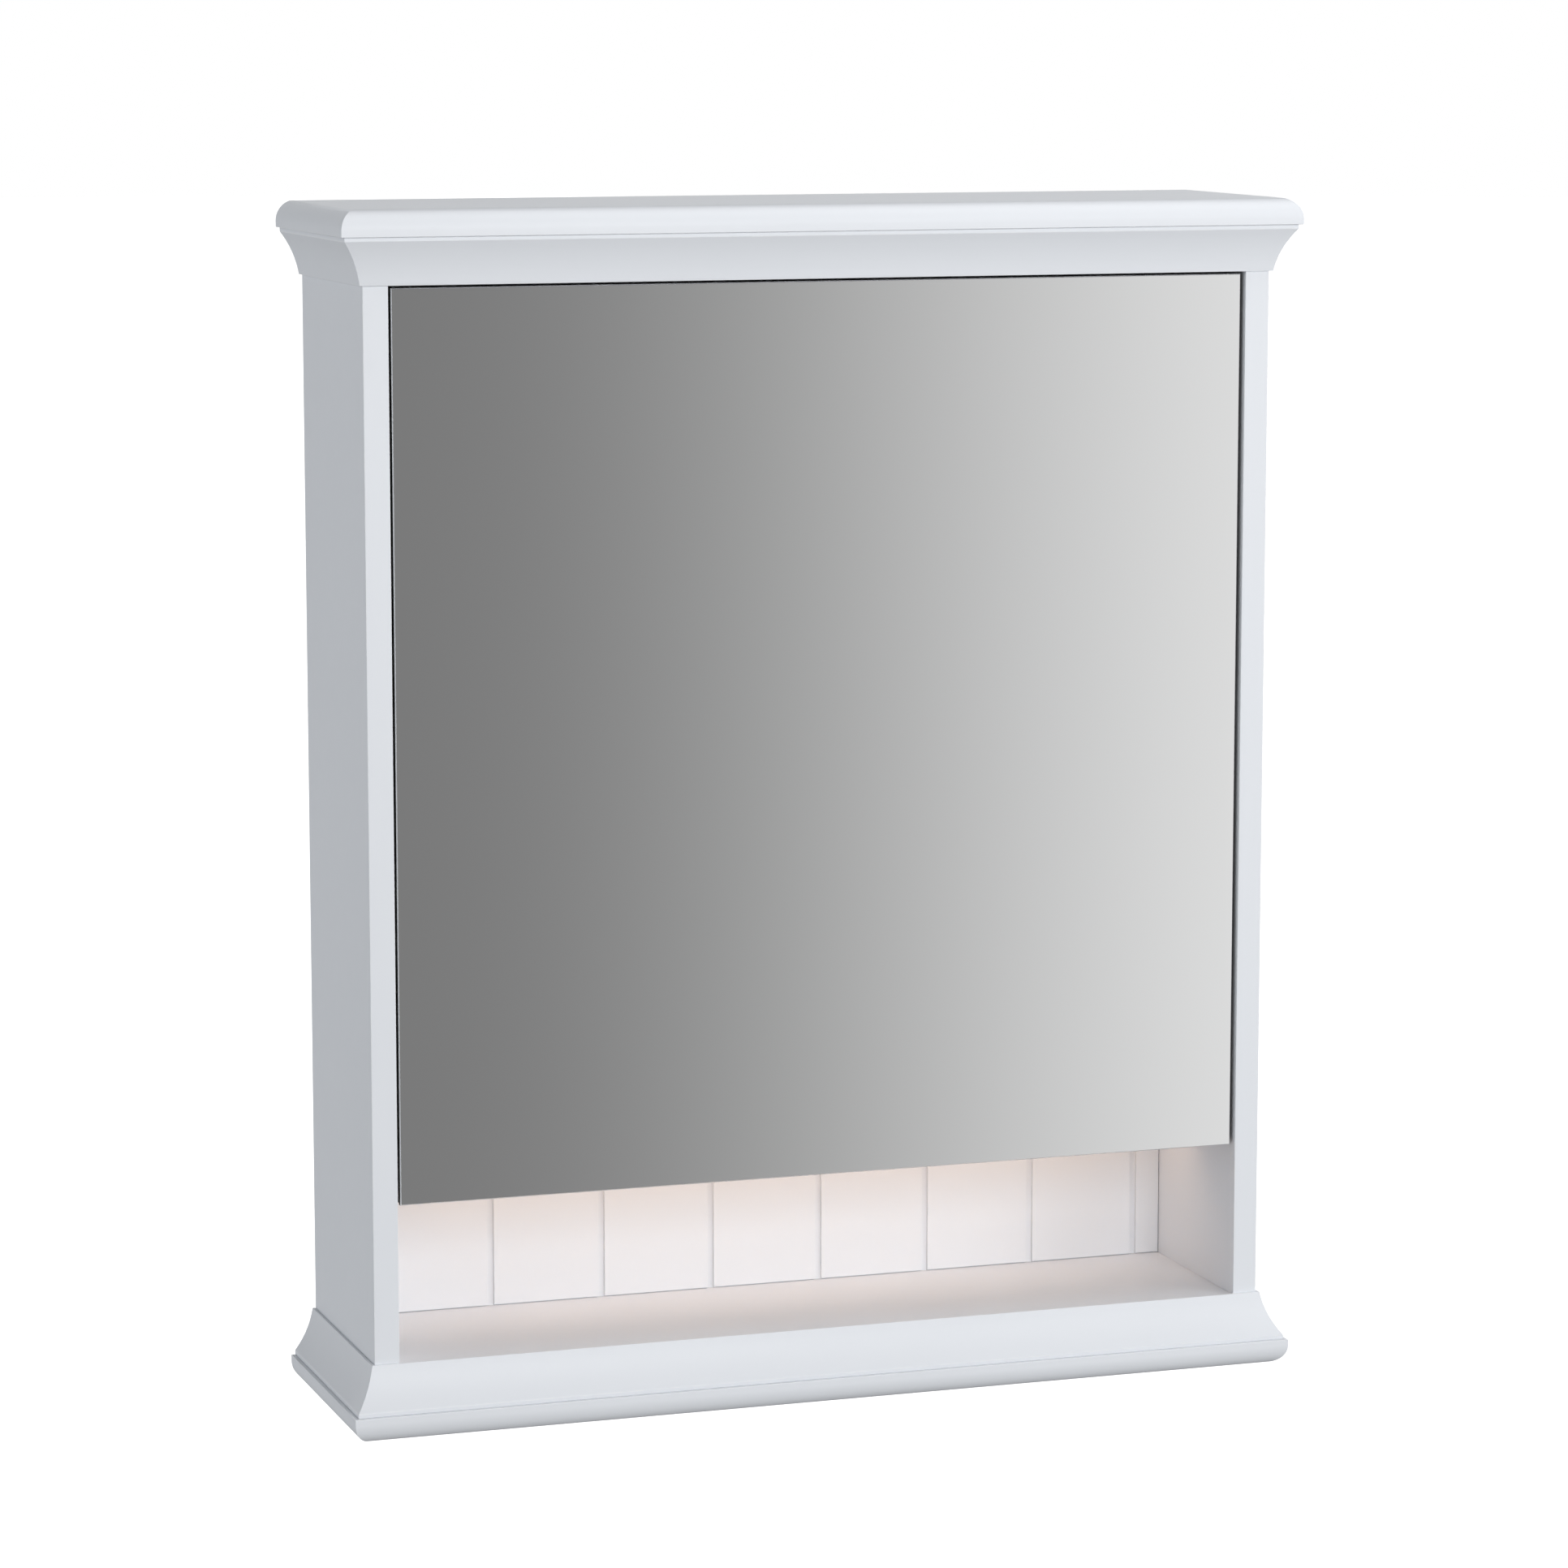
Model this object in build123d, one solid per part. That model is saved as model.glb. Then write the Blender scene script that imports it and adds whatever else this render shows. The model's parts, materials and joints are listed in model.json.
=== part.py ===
from build123d import *
import os

# Wall-hung bathroom cabinet with one mirror door over an open, lit niche.
# Millimetres. +X is to the right, the front looks along -Y, +Z is up.
# Y = 0 is the wall. Heights are counted from the underside of the base board,
# and every piece is moved down by HANG_HEIGHT when it is written, so that the
# origin is the centre of the wall-side face of the upper rear rail.

# ---------------------------------------------------------------- driving sizes
BODY_WIDTH = 593.0
BODY_DEPTH = 154.0
BOARD = 16.0

EDGE_BOARD = 16.5
EDGE_BOARD_OUT = 16.45
EDGE_ROUND = 13.0
# The round meets the flat face at a slight crease: it is cut off this far short.
EDGE_CREASE = 0.5
FILLET_HEIGHT = 2.7
FILLET_OUT = 13.95
COVE_HEIGHT = 27.0
COVE_LEDGE = 2.0
COVE_HOLLOW = 1.85

CROWN_BOTTOM = 711.5
NICHE_FLOOR_DROP = 1.0
COMPARTMENT_FLOOR_BOTTOM = 162.0
# The hinge-side edge of the open door swings behind its closed place, so the
# boards and shelves behind the door start this far in front of the wall.
COMPARTMENT_FRONT = -123.0

DOOR_BOTTOM = 144.9
DOOR_TOP = 709.9
DOOR_SIDE_GAP = 2.3
DOOR_RECESS = 2.7
GLASS = 4.0
GLASS_CHAMFER = 0.6
GLASS_OVERHANG = 0.5
EDGING = 1.0

REAR_VOID = 16.0
BACK_PANEL = 12.0
GROOVE_COUNT = 8
GROOVE_PITCH = 74.7
GROOVE_WIDTH = 4.4
GROOVE_DEPTH = 2.0
# A fine rebate round the front of the back panel, where it meets its neighbours.
REBATE_WIDTH = 0.6
REBATE_DEPTH = 1.5

HINGE_HEIGHTS = (236.0, 620.0)
SHELF_HEIGHTS = (355.0, 533.0)
HANGER_X = 238.0
HANG_HEIGHT = 676.0

# Pegs and screws stand this far clear of the holes they sit in, all round.
SPARE = 0.05
# The countersunk screws: radius of the head, and radius of the shank.
BOARD_SCREW = (3.6, 1.75)
SMALL_SCREW = (3.4, 1.6)
ARM_SCREW = (3.2, 2.0)
CROSS_WIDTH = 0.8
CROSS_DEPTH = 1.2

# --------------------------------------------------------------- derived sizes
HALF = BODY_WIDTH / 2
INNER = HALF - BOARD
FRONT = -BODY_DEPTH
BASE_TOP = EDGE_BOARD + FILLET_HEIGHT + COVE_HEIGHT
CAP_BOTTOM = CROWN_BOTTOM + COVE_HEIGHT + FILLET_HEIGHT
NICHE_FLOOR_TOP = BASE_TOP - NICHE_FLOOR_DROP
DOOR_X = INNER - DOOR_SIDE_GAP
DOOR_FRONT = FRONT + DOOR_RECESS
PANEL_FRONT = DOOR_FRONT + GLASS
DOOR_BACK = PANEL_FRONT + BOARD
BACK_FRONT = -(REAR_VOID + BACK_PANEL)
SIDES = (-1, 1)
UP = (0, 0, 1)
DOWN = (0, 0, -1)
TO_WALL = (0, 1, 0)
TO_FRONT = (0, -1, 0)
TO_RIGHT = (1, 0, 0)
FROM_LOW = (Align.CENTER, Align.CENTER, Align.MIN)


def save(node, shape):
    """Write one piece, with its heights counted from the hanging point."""
    os.makedirs("parts", exist_ok=True)
    export_step(Pos(0, 0, -HANG_HEIGHT) * shape, f"parts/{node}.step")


def around(middle, half):
    """The pair of coordinates that lie half to each side of the middle."""
    return (middle - half, middle + half)


def block(x, y, z):
    """A box from three pairs of end coordinates."""
    low = (min(x), min(y), min(z))
    size = (abs(x[1] - x[0]), abs(y[1] - y[0]), abs(z[1] - z[0]))
    return Pos(*low) * Box(*size, align=(Align.MIN, Align.MIN, Align.MIN))


def rod(radius, start, direction, length):
    """A round bar that starts at a point and runs along a direction."""
    return Plane(origin=start, z_dir=direction) * Cylinder(radius, length, align=FROM_LOW)


def screw_body(head, shank, start, direction, length):
    """The outer form of a countersunk screw: the head narrows to the shank."""
    cone = Cone(head, shank, head - shank, align=FROM_LOW)
    shaft = Pos(0, 0, head - shank) * Cylinder(shank, length - head + shank, align=FROM_LOW)
    return Plane(origin=start, z_dir=direction) * (cone + shaft)


def screw_hole(head, shank, start, direction, length):
    """The countersunk hole that a screw of the same sizes sits in."""
    return screw_body(head + SPARE, shank + SPARE, start, direction, length)


def screw(head, shank, start, direction, length):
    """A countersunk screw with a cross recess in its head."""
    cross = Box(head, CROSS_WIDTH, CROSS_DEPTH, align=FROM_LOW)
    cross += Box(CROSS_WIDTH, head, CROSS_DEPTH, align=FROM_LOW)
    return screw_body(head, shank, start, direction, length) - Plane(origin=start, z_dir=direction) * cross


def group(pieces):
    """Identical pieces kept as separate solids of one node."""
    return Compound(children=list(pieces))


# -------------------------------------------------------------------- mouldings
# The lengths are cut to their mitres from bars and prisms that are this much
# larger than the moulding.
CUT_SPARE = 30.0


def cove_face(flip):
    """The section of cove and fillet: across it runs outward, up it runs from
    the end of the body to the edge board."""
    ledge = Vector(COVE_LEDGE, 0)
    tip = Vector(FILLET_OUT, COVE_HEIGHT)
    chord = tip - ledge
    inward = Vector(-chord.Y, chord.X).normalized()
    middle = (ledge + tip) / 2 + inward * COVE_HOLLOW
    top = COVE_HEIGHT + FILLET_HEIGHT
    outline = (
        Line((0, 0), ledge)
        + ThreePointArc(ledge, middle, tip)
        + Line(tip, (FILLET_OUT, top))
        + Line((FILLET_OUT, top), (0, top))
        + Line((0, top), (0, 0))
    )
    face = make_face(outline)
    return mirror(face, about=Plane.XZ) if flip else face


def mitre_prism(corners, height):
    """The plan of one length of moulding, with its 45 degree ends."""
    plan = make_face(Polyline(*corners, close=True))
    reach = COVE_HEIGHT + CUT_SPARE
    return Pos(0, 0, height - reach) * extrude(plan, 2 * reach)


def moulding_ring(body_end, flip):
    """Front, left and right lengths of the moulding, mitred at the front corners."""
    out = FILLET_OUT + CUT_SPARE
    run = BODY_WIDTH + 2 * out
    front_plane = Plane(origin=(run / 2, FRONT, body_end), x_dir=TO_FRONT, z_dir=(-1, 0, 0))
    front_bar = extrude(front_plane * cove_face(flip), run)
    left_corner = (-HALF - out, FRONT - out)
    right_corner = (HALF + out, FRONT - out)
    front_plan = [(-HALF, FRONT), (HALF, FRONT), right_corner, left_corner]
    right_plane = Plane(origin=(HALF, 0, body_end), x_dir=TO_RIGHT, z_dir=TO_FRONT)
    right_bar = extrude(right_plane * cove_face(flip), BODY_DEPTH + out)
    right_plan = [(HALF, 0), (HALF, FRONT), right_corner, (HALF + out, 0)]
    front = front_bar & mitre_prism(front_plan, body_end)
    right = right_bar & mitre_prism(right_plan, body_end)
    left = mirror(right, about=Plane.YZ)
    return front, left, right


def edge_board(bottom, rounded_up):
    """Cap or base board: its outer edge is rounded on the front and both sides."""
    half = HALF + EDGE_BOARD_OUT
    front = FRONT - EDGE_BOARD_OUT
    top = bottom + EDGE_BOARD
    blank_z = (bottom, top + EDGE_CREASE) if rounded_up else (bottom - EDGE_CREASE, top)
    blank = block((-half, half), (front, 0), blank_z)
    level = blank.edges().group_by(Axis.Z)[-1 if rounded_up else 0]
    front_edge = level.filter_by(Axis.X).sort_by(Axis.Y)[0]
    rounded = fillet(front_edge, EDGE_ROUND) & fillet(level.filter_by(Axis.Y), EDGE_ROUND)
    return rounded & block((-half, half), (front, 0), (bottom, top))


for word, height, flip in (("crown", CROWN_BOTTOM, False), ("base", BASE_TOP, True)):
    for place, piece in zip(("front", "left", "right"), moulding_ring(height, flip)):
        save(f"{word}_moulding_{place}", piece)


# ------------------------------------------------------------------ side panels
DOWEL_RADIUS = 4.0
DOWEL_LENGTH = 30.0
DOWEL_IN_SIDE = 11.0
DOWEL_Y = (-108.0, -44.0)
CAM_Y = (-94.0, -58.0)
CAM_RADIUS = 7.5
CAM_HEIGHT = 12.5
CAM_FROM_END = 34.0
CAM_SLOT_LENGTH = 10.0
CAM_SLOT_WIDTH = 1.4
CAM_SLOT_DEPTH = 1.5
CAM_BOLT_RADIUS = 3.5
CAM_BOLT_IN_SIDE = 10.0
PIN_RADIUS = 2.5
PIN_IN_SIDE = 9.0
PIN_Y = (-100.0, -52.0)
SPARE_HOLE_STEP = 32.0
# Height of the middle of each board that is dowelled to the sides, and
# whether its cam discs are let in from above.
JOINTED_BOARDS = {
    "top_panel": (CROWN_BOTTOM + BOARD / 2, True),
    "compartment_floor": (COMPARTMENT_FLOOR_BOTTOM + BOARD / 2, True),
    "niche_floor": (NICHE_FLOOR_TOP - BOARD / 2, False),
}


def dowels_at(height, spare=0.0):
    """Wooden dowels at both ends of a board, or with spare their holes."""
    for side in SIDES:
        for y in DOWEL_Y:
            start = (side * (INNER + DOWEL_IN_SIDE), y, height)
            yield rod(DOWEL_RADIUS + spare, start, (-side, 0, 0), DOWEL_LENGTH)


def cam_bolts_at(height, spare=0.0):
    """Connecting bolts from the side panels to the cam discs, or their holes."""
    reach = CAM_BOLT_IN_SIDE + CAM_FROM_END - CAM_RADIUS
    for side in SIDES:
        for y in CAM_Y:
            start = (side * (INNER + CAM_BOLT_IN_SIDE), y, height)
            yield rod(CAM_BOLT_RADIUS + spare, start, (-side, 0, 0), reach)


def cam_pockets_at(height, from_above, spare=0.0):
    """Round discs let into the hidden face of a board, or their pockets."""
    face = height + BOARD / 2 if from_above else height - BOARD / 2
    inward = DOWN if from_above else UP
    for side in SIDES:
        for y in CAM_Y:
            start = (side * (INNER - CAM_FROM_END), y, face)
            yield rod(CAM_RADIUS + spare, start, inward, CAM_HEIGHT)


def cam_discs_at(height, from_above):
    """Cam discs with a screwdriver slot across their visible end."""
    face = height + BOARD / 2 if from_above else height - BOARD / 2
    for disc in cam_pockets_at(height, from_above):
        middle = disc.center()
        slot_x = around(middle.X, CAM_SLOT_LENGTH / 2)
        slot_y = around(middle.Y, CAM_SLOT_WIDTH / 2)
        yield disc - block(slot_x, slot_y, around(face, CAM_SLOT_DEPTH))


def shelf_pin_holes(side):
    """Blind holes for the shelf pins, with one spare height above and below."""
    for shelf in SHELF_HEIGHTS:
        for step in (-1, 0, 1):
            for y in PIN_Y:
                start = (side * INNER, y, shelf - PIN_RADIUS + step * SPARE_HOLE_STEP)
                yield rod(PIN_RADIUS + SPARE, start, (side, 0, 0), PIN_IN_SIDE)


def side_panel(side):
    """One side: its front edge is the plain post beside the door."""
    panel = block((side * INNER, side * HALF), (FRONT, 0), (EDGE_BOARD, CAP_BOTTOM))
    for hole in shelf_pin_holes(side):
        panel -= hole
    for height, _ in JOINTED_BOARDS.values():
        for hole in (*dowels_at(height, SPARE), *cam_bolts_at(height, SPARE)):
            panel -= hole
    return panel


board_places = JOINTED_BOARDS.values()
save("side_panel_left", side_panel(-1))
save("carcass_dowels", group(dowel for height, _ in board_places for dowel in dowels_at(height)))
save("cam_bolts", group(bolt for height, _ in board_places for bolt in cam_bolts_at(height)))
save("cam_discs", group(disc for place in board_places for disc in cam_discs_at(*place)))


# ------------------------------------------------------- boards between the sides
LED_HALF_LENGTH = 268.0
LED_Y = -76.0
LED_WIDTH = 17.0
LED_HEIGHT = 8.0
LED_SHADE = 12.0
LED_TRENCH_SPARE = 2.0
PACKER_WIDTH = 40.0
PACKER_INSET = 4.0
PACKER_Y = (
    (FRONT + PACKER_INSET, FRONT + PACKER_INSET + PACKER_WIDTH),
    (-PACKER_INSET - PACKER_WIDTH, -PACKER_INSET),
)
BOARD_SCREW_X = (-200.0, 200.0)
CAP_SCREW_LENGTH = 42.0
BASE_SCREW_LENGTH = 40.0


def jointed_board(name, y_low, y_high):
    """A board between the sides, cut for its dowels, bolts and cam discs."""
    height, from_above = JOINTED_BOARDS[name]
    board = block((-INNER, INNER), (y_low, y_high), around(height, BOARD / 2))
    for hole in (*dowels_at(height, SPARE), *cam_bolts_at(height, SPARE)):
        board -= hole
    for pocket in cam_pockets_at(height, from_above, SPARE):
        board -= pocket
    return board


top_panel = jointed_board("top_panel", FRONT, -REAR_VOID)
niche_floor = jointed_board("niche_floor", FRONT, -REAR_VOID)
compartment_floor = jointed_board("compartment_floor", COMPARTMENT_FRONT, BACK_FRONT)
led_trench_x = around(0, LED_HALF_LENGTH + LED_TRENCH_SPARE)
led_trench_y = around(LED_Y, LED_WIDTH / 2)
led_trench_z = (COMPARTMENT_FLOOR_BOTTOM, COMPARTMENT_FLOOR_BOTTOM + LED_HEIGHT)
compartment_floor -= block(led_trench_x, led_trench_y, led_trench_z)

crown_packer_z = (CROWN_BOTTOM + BOARD, CAP_BOTTOM)
base_packer_z = (EDGE_BOARD, NICHE_FLOOR_TOP - BOARD)
crown_packers = [block((-INNER, INNER), y, crown_packer_z) for y in PACKER_Y]
base_packers = [block((-INNER, INNER), y, base_packer_z) for y in PACKER_Y]
cap_board = edge_board(CAP_BOTTOM, True)
base_board = edge_board(0, False)

cap_screws = []
base_screws = []
for x in BOARD_SCREW_X:
    for band in PACKER_Y:
        from_inside = (*BOARD_SCREW, (x, sum(band) / 2, CROWN_BOTTOM), UP, CAP_SCREW_LENGTH)
        from_below = (*BOARD_SCREW, (x, sum(band) / 2, 0), UP, BASE_SCREW_LENGTH)
        top_panel -= screw_hole(*from_inside)
        cap_board -= screw_hole(*from_inside)
        crown_packers = [packer - screw_hole(*from_inside) for packer in crown_packers]
        base_board -= screw_hole(*from_below)
        niche_floor -= screw_hole(*from_below)
        base_packers = [packer - screw_hole(*from_below) for packer in base_packers]
        cap_screws.append(screw(*from_inside))
        base_screws.append(screw(*from_below))

save("top_panel", top_panel)
save("niche_floor", niche_floor)
save("compartment_floor", compartment_floor)
save("cap_board", cap_board)
save("base_board", base_board)
save("crown_packers", group(crown_packers))
save("base_packers", group(base_packers))
save("cap_screws", group(cap_screws))
save("base_screws", group(base_screws))


# ------------------------------------------------------- back panel and its rails
ACCESS_RADIUS = 6.0
ACCESS_HEIGHT = 668.0
RAIL_HEIGHT = 71.0
TOP_RAIL_HALF = 200.0
COVER_RIM = 9.0
COVER_PROUD = 1.5
COVER_ROUND = 1.0
COVER_PLUG = 6.0
COVER_PLUG_WALL = 1.2
COVER_PLUG_SPARE = 0.1

back_z = (NICHE_FLOOR_TOP, CROWN_BOTTOM)
back_panel = block((-INNER, INNER), (BACK_FRONT, -REAR_VOID), back_z)
for number in range(GROOVE_COUNT):
    groove_x = around((number - (GROOVE_COUNT - 1) / 2) * GROOVE_PITCH, GROOVE_WIDTH / 2)
    back_panel -= block(groove_x, (BACK_FRONT, BACK_FRONT + GROOVE_DEPTH), back_z)
rebate_y = (BACK_FRONT, BACK_FRONT + REBATE_DEPTH)
back_panel -= block((-INNER, INNER), rebate_y, (NICHE_FLOOR_TOP, NICHE_FLOOR_TOP + REBATE_WIDTH))
for side in SIDES:
    back_panel -= block((side * INNER, side * (INNER - REBATE_WIDTH)), rebate_y, back_z)
access_places = [(side * HANGER_X, BACK_FRONT, ACCESS_HEIGHT) for side in SIDES]
for place in access_places:
    back_panel -= rod(ACCESS_RADIUS, place, TO_WALL, BACK_PANEL)

top_rail_z = (CROWN_BOTTOM - RAIL_HEIGHT, CROWN_BOTTOM)
bottom_rail_z = (NICHE_FLOOR_TOP, NICHE_FLOOR_TOP + RAIL_HEIGHT)
save("rear_rail_top", block(around(0, TOP_RAIL_HALF), (-REAR_VOID, 0), top_rail_z))
save("rear_rail_bottom", block((-INNER, INNER), (-REAR_VOID, 0), bottom_rail_z))


def hanger_cover(x, y, z):
    """A press-in cover for a screwdriver hole: a rounded rim and a hollow plug."""
    rim = rod(COVER_RIM, (x, y - COVER_PROUD, z), TO_WALL, COVER_PROUD)
    rim = fillet(rim.edges().group_by(Axis.Y)[0], COVER_ROUND)
    plug_radius = ACCESS_RADIUS - COVER_PLUG_SPARE
    plug = rod(plug_radius, (x, y, z), TO_WALL, COVER_PLUG)
    return rim + (plug - rod(plug_radius - COVER_PLUG_WALL, (x, y, z), TO_WALL, COVER_PLUG))


save("hanger_covers", group(hanger_cover(*place) for place in access_places))


# ---------------------------------------------------------------- wall hangers
PLATE = 2.0
WALL_PLATE_WIDTH = 56.0
WALL_PLATE_LOW = 652.0
WALL_PLATE_HIGH = 700.0
WALL_SCREW_SPACING = 32.0
WALL_SCREW_RADIUS = 2.75
LIP_HEIGHT = 8.0
LIP_GAP = 3.0
HANGER_LOW = 640.0
HANGER_HIGH = 708.0
HANGER_FRONT_Y = 0.2 - REAR_VOID
HANGER_REAR_Y = -8.2
HANGER_INNER_SIDE = 16.0
HANGER_STEEL = 1.5
HOOK_WIDTH = 20.0
HOOK_FRONT_Y = -11.5
HOOK_REAR_Y = -9.5
HOOK_FROM_LOW = 8.0
HOOK_BEHIND_LIP = 5.5
HOOK_FROM_PLATE = 0.4
ADJUST_HEAD_RADIUS = 4.5
ADJUST_HEAD_Y = -14.2
ADJUST_HEAD = 2.4
ADJUST_SHANK_RADIUS = 2.0
ADJUST_SHANK = 6.0
ADJUST_HOLE_RADIUS = 3.1
ADJUST_SLOT_HALF = 3.0


def wall_plate(side):
    """The plate that stays on the wall: its upper edge is bent forward and up."""
    centre = side * HANGER_X
    x = around(centre, WALL_PLATE_WIDTH / 2)
    bend = WALL_PLATE_HIGH - LIP_HEIGHT
    lip_front = -2 * PLATE - LIP_GAP
    plate = block(x, (-PLATE, 0), (WALL_PLATE_LOW, bend))
    plate += block(x, (lip_front, 0), (bend, bend + PLATE))
    plate += block(x, (lip_front, lip_front + PLATE), (bend, WALL_PLATE_HIGH))
    for screw_x in around(centre, WALL_SCREW_SPACING / 2):
        start = (screw_x, -PLATE, (WALL_PLATE_LOW + WALL_PLATE_HIGH) / 2)
        plate -= rod(WALL_SCREW_RADIUS, start, TO_WALL, PLATE)
    return plate


def hanger_body(side):
    """The folded steel box screwed to the side panel behind the back panel."""
    near = side * INNER
    far = side * (HANGER_X - HANGER_INNER_SIDE)
    shell = block((near, far), (HANGER_FRONT_Y, HANGER_REAR_Y), (HANGER_LOW, HANGER_HIGH))
    hollow_x = (near - side * HANGER_STEEL, far + side * HANGER_STEEL)
    shell -= block(hollow_x, (HANGER_FRONT_Y + HANGER_STEEL, 0), (HANGER_LOW + HANGER_STEEL, HANGER_HIGH))
    place = (side * HANGER_X, HANGER_FRONT_Y, ACCESS_HEIGHT)
    return shell - rod(ADJUST_HOLE_RADIUS, place, TO_WALL, HANGER_STEEL)


def hanger_hook(side):
    """The hook plate: it drops behind the lip of the wall plate."""
    centre = side * HANGER_X
    x = around(centre, HOOK_WIDTH / 2)
    top_z = (WALL_PLATE_HIGH, WALL_PLATE_HIGH + PLATE)
    drop_rear = -PLATE - HOOK_FROM_PLATE
    hook = block(x, (HOOK_FRONT_Y, HOOK_REAR_Y), (HANGER_LOW + HOOK_FROM_LOW, top_z[1]))
    hook += block(x, (HOOK_FRONT_Y, drop_rear), top_z)
    hook += block(x, (drop_rear - PLATE, drop_rear), (WALL_PLATE_HIGH - HOOK_BEHIND_LIP, top_z[1]))
    place = (centre, HOOK_FRONT_Y, ACCESS_HEIGHT)
    return hook - rod(ADJUST_SHANK_RADIUS + SPARE, place, TO_WALL, HOOK_REAR_Y - HOOK_FRONT_Y)


def adjusting_screw(side):
    """The screw that sets how far the hook stands back from the cabinet."""
    centre = side * HANGER_X
    neck = ADJUST_HEAD_Y + ADJUST_HEAD
    head = rod(ADJUST_HEAD_RADIUS, (centre, ADJUST_HEAD_Y, ACCESS_HEIGHT), TO_WALL, ADJUST_HEAD)
    shank = rod(ADJUST_SHANK_RADIUS, (centre, neck, ACCESS_HEIGHT), TO_WALL, ADJUST_SHANK)
    slot_z = around(ACCESS_HEIGHT, CROSS_WIDTH / 2)
    slot = block(around(centre, ADJUST_SLOT_HALF), around(ADJUST_HEAD_Y, CROSS_DEPTH), slot_z)
    return head + shank - slot


for side, word in zip(SIDES, ("left", "right")):
    save(f"wall_plate_{word}", wall_plate(side))
    save(f"hanger_body_{word}", hanger_body(side))
    save(f"hanger_hook_{word}", hanger_hook(side))
save("hanger_adjusting_screws", group(adjusting_screw(side) for side in SIDES))


# ------------------------------------------------------------------- niche light
PROFILE_SPARE = 0.2
PROFILE_WALL = 1.2
DIFFUSER = 1.5
CIRCUIT_WIDTH = 10.0
CIRCUIT = 1.6
CHIP_PITCH = 33.5
CHIP_LENGTH = 3.5
CHIP_WIDTH = 2.8
CHIP_HEIGHT = 0.8
END_CAP = 1.8
DRIVER_HALF_LENGTH = 75.0
DRIVER_HEIGHT = 321.0
DRIVER_HALF_HEIGHT = 21.0
DRIVER_REAR_Y = -2.0
DRIVER_ROUND = 4.0
EAR_FROM_END = 5.0
EAR_HALF_LENGTH = 7.0
EAR_HALF_HEIGHT = 8.0
EAR = 2.5
DRIVER_SCREW_LENGTH = 12.0

led_x = around(0, LED_HALF_LENGTH)
led_y = around(LED_Y, LED_WIDTH / 2 - PROFILE_SPARE)
led_z = (COMPARTMENT_FLOOR_BOTTOM, COMPARTMENT_FLOOR_BOTTOM + LED_HEIGHT - PROFILE_SPARE)
inner_y = (led_y[0] + PROFILE_WALL, led_y[1] - PROFILE_WALL)
circuit_top = led_z[1] - PROFILE_WALL
circuit_z = (circuit_top - CIRCUIT, circuit_top)
shade_low = led_z[0] - LED_SHADE
channel = block(led_x, led_y, led_z) - block(led_x, inner_y, (led_z[0], circuit_top))
save("led_profile", channel + block(led_x, (led_y[0], inner_y[0]), (shade_low, led_z[0])))
# The diffuser slopes from the foot of the shade up to the rear wall of the
# profile, so that the light falls on the back panel.
slope = [(inner_y[0], shade_low), (inner_y[1], led_z[0])]
slope += [(inner_y[1], led_z[0] + DIFFUSER), (inner_y[0], shade_low + DIFFUSER)]
slope_face = Plane.YZ * Polygon(*slope, align=None)
save("led_diffuser", extrude(slope_face, LED_HALF_LENGTH, both=True))

led_board = block(led_x, around(LED_Y, CIRCUIT_WIDTH / 2), circuit_z)
chip_count = int(2 * LED_HALF_LENGTH / CHIP_PITCH)
for number in range(chip_count):
    chip_x = around((number - (chip_count - 1) / 2) * CHIP_PITCH, CHIP_LENGTH / 2)
    led_board += block(chip_x, around(LED_Y, CHIP_WIDTH / 2), (circuit_z[0] - CHIP_HEIGHT, circuit_z[0]))
save("led_board", led_board)
end_cap_x = [(side * LED_HALF_LENGTH, side * (LED_HALF_LENGTH + END_CAP)) for side in SIDES]
end_cap_z = (shade_low, led_z[1])
save("led_end_caps", group(block(x, led_y, end_cap_z) for x in end_cap_x))

driver_z = around(DRIVER_HEIGHT, DRIVER_HALF_HEIGHT)
driver = block(around(0, DRIVER_HALF_LENGTH), (-REAR_VOID, DRIVER_REAR_Y), driver_z)
driver = fillet(driver.edges().filter_by(Axis.Y), DRIVER_ROUND)
driver_screws = []
for x in around(0, DRIVER_HALF_LENGTH + EAR_FROM_END):
    ear_z = around(DRIVER_HEIGHT, EAR_HALF_HEIGHT)
    driver += block(around(x, EAR_HALF_LENGTH), (-REAR_VOID, EAR - REAR_VOID), ear_z)
    through_ear = (*SMALL_SCREW, (x, EAR - REAR_VOID, DRIVER_HEIGHT), TO_FRONT, DRIVER_SCREW_LENGTH)
    driver -= screw_hole(*through_ear)
    back_panel -= screw_hole(*through_ear)
    driver_screws.append(screw(*through_ear))
save("led_driver", driver)
save("driver_screws", group(driver_screws))
save("back_panel", back_panel)


# ----------------------------------------------------------------- glass shelves
SHELF_GLASS = 5.0
SHELF_EDGE = 0.6
SHELF_END_GAP = 1.5
SHELF_Y = (-118.0, BACK_FRONT - 1.5)
PIN_COLLAR_RADIUS = 4.0
PIN_COLLAR = 1.2
PIN_TONGUE = 7.0
PIN_TONGUE_HEIGHT = 3.0


def glass_shelf(height):
    """A clear shelf with ground edges, lying on four pins."""
    shelf = block(around(0, INNER - SHELF_END_GAP), SHELF_Y, (height, height + SHELF_GLASS))
    return chamfer(shelf.edges().filter_by(Axis.X), SHELF_EDGE)


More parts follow.
